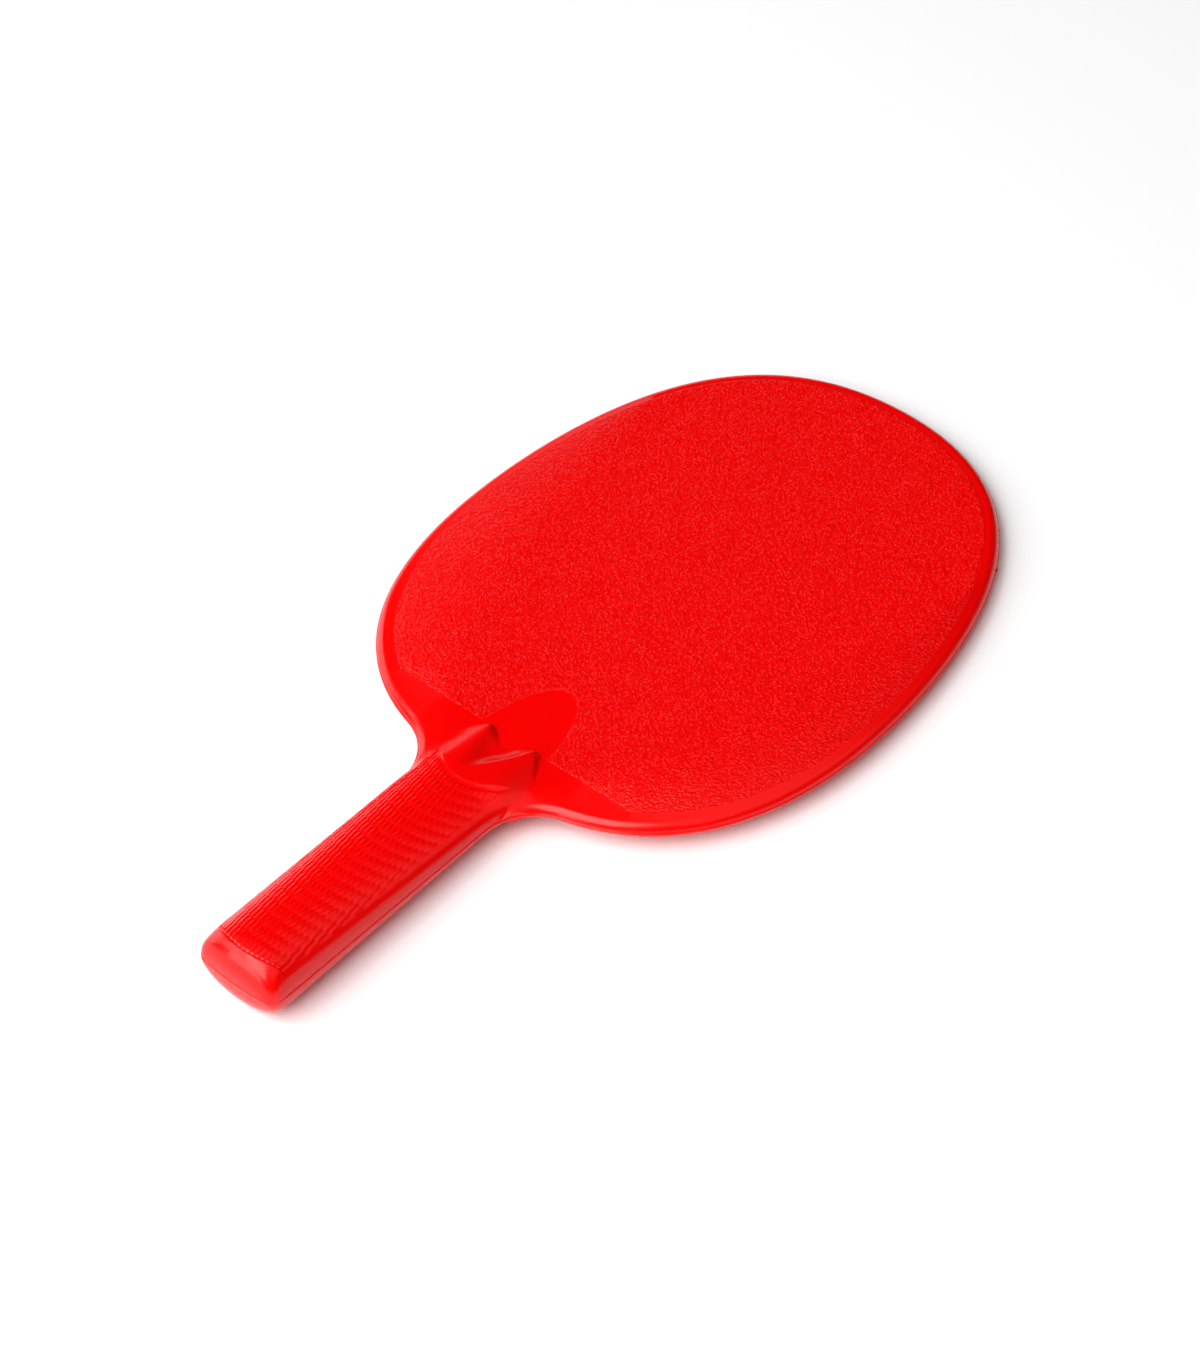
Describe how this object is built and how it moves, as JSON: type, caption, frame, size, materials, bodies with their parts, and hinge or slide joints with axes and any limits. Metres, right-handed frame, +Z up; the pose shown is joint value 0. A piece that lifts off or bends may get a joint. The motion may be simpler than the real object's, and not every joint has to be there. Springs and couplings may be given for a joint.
{
  "type": "beach tennis racket",
  "caption": "Short-handled plastic beach racket: two moulded half shells round foam, with a flat rounded blade, a tapered oval handle and a lobed thumb rest.",
  "frame": {"origin": "on the floor, under the middle of the outer box, with the racket lying on the crown of its butt and the rim of its tip", "axes": "+X along the racket's length towards the blade's tip, +Y across the blade, +Z up"},
  "size_m": [0.325, 0.1676, 0.0241],
  "materials": {
    "front_shell": "semi-gloss moulded red, leather-grained blade face",
    "back_shell": "semi-gloss moulded red, leather-grained blade face",
    "blade_core": "off-white closed-cell foam sheet",
    "handle_core": "off-white closed-cell foam bar"
  },
  "bodies": {
    "root": {"front_shell": "front_shell", "back_shell": "back_shell", "blade_core": "blade_core", "handle_core": "handle_core"}
  },
  "joints": []
}
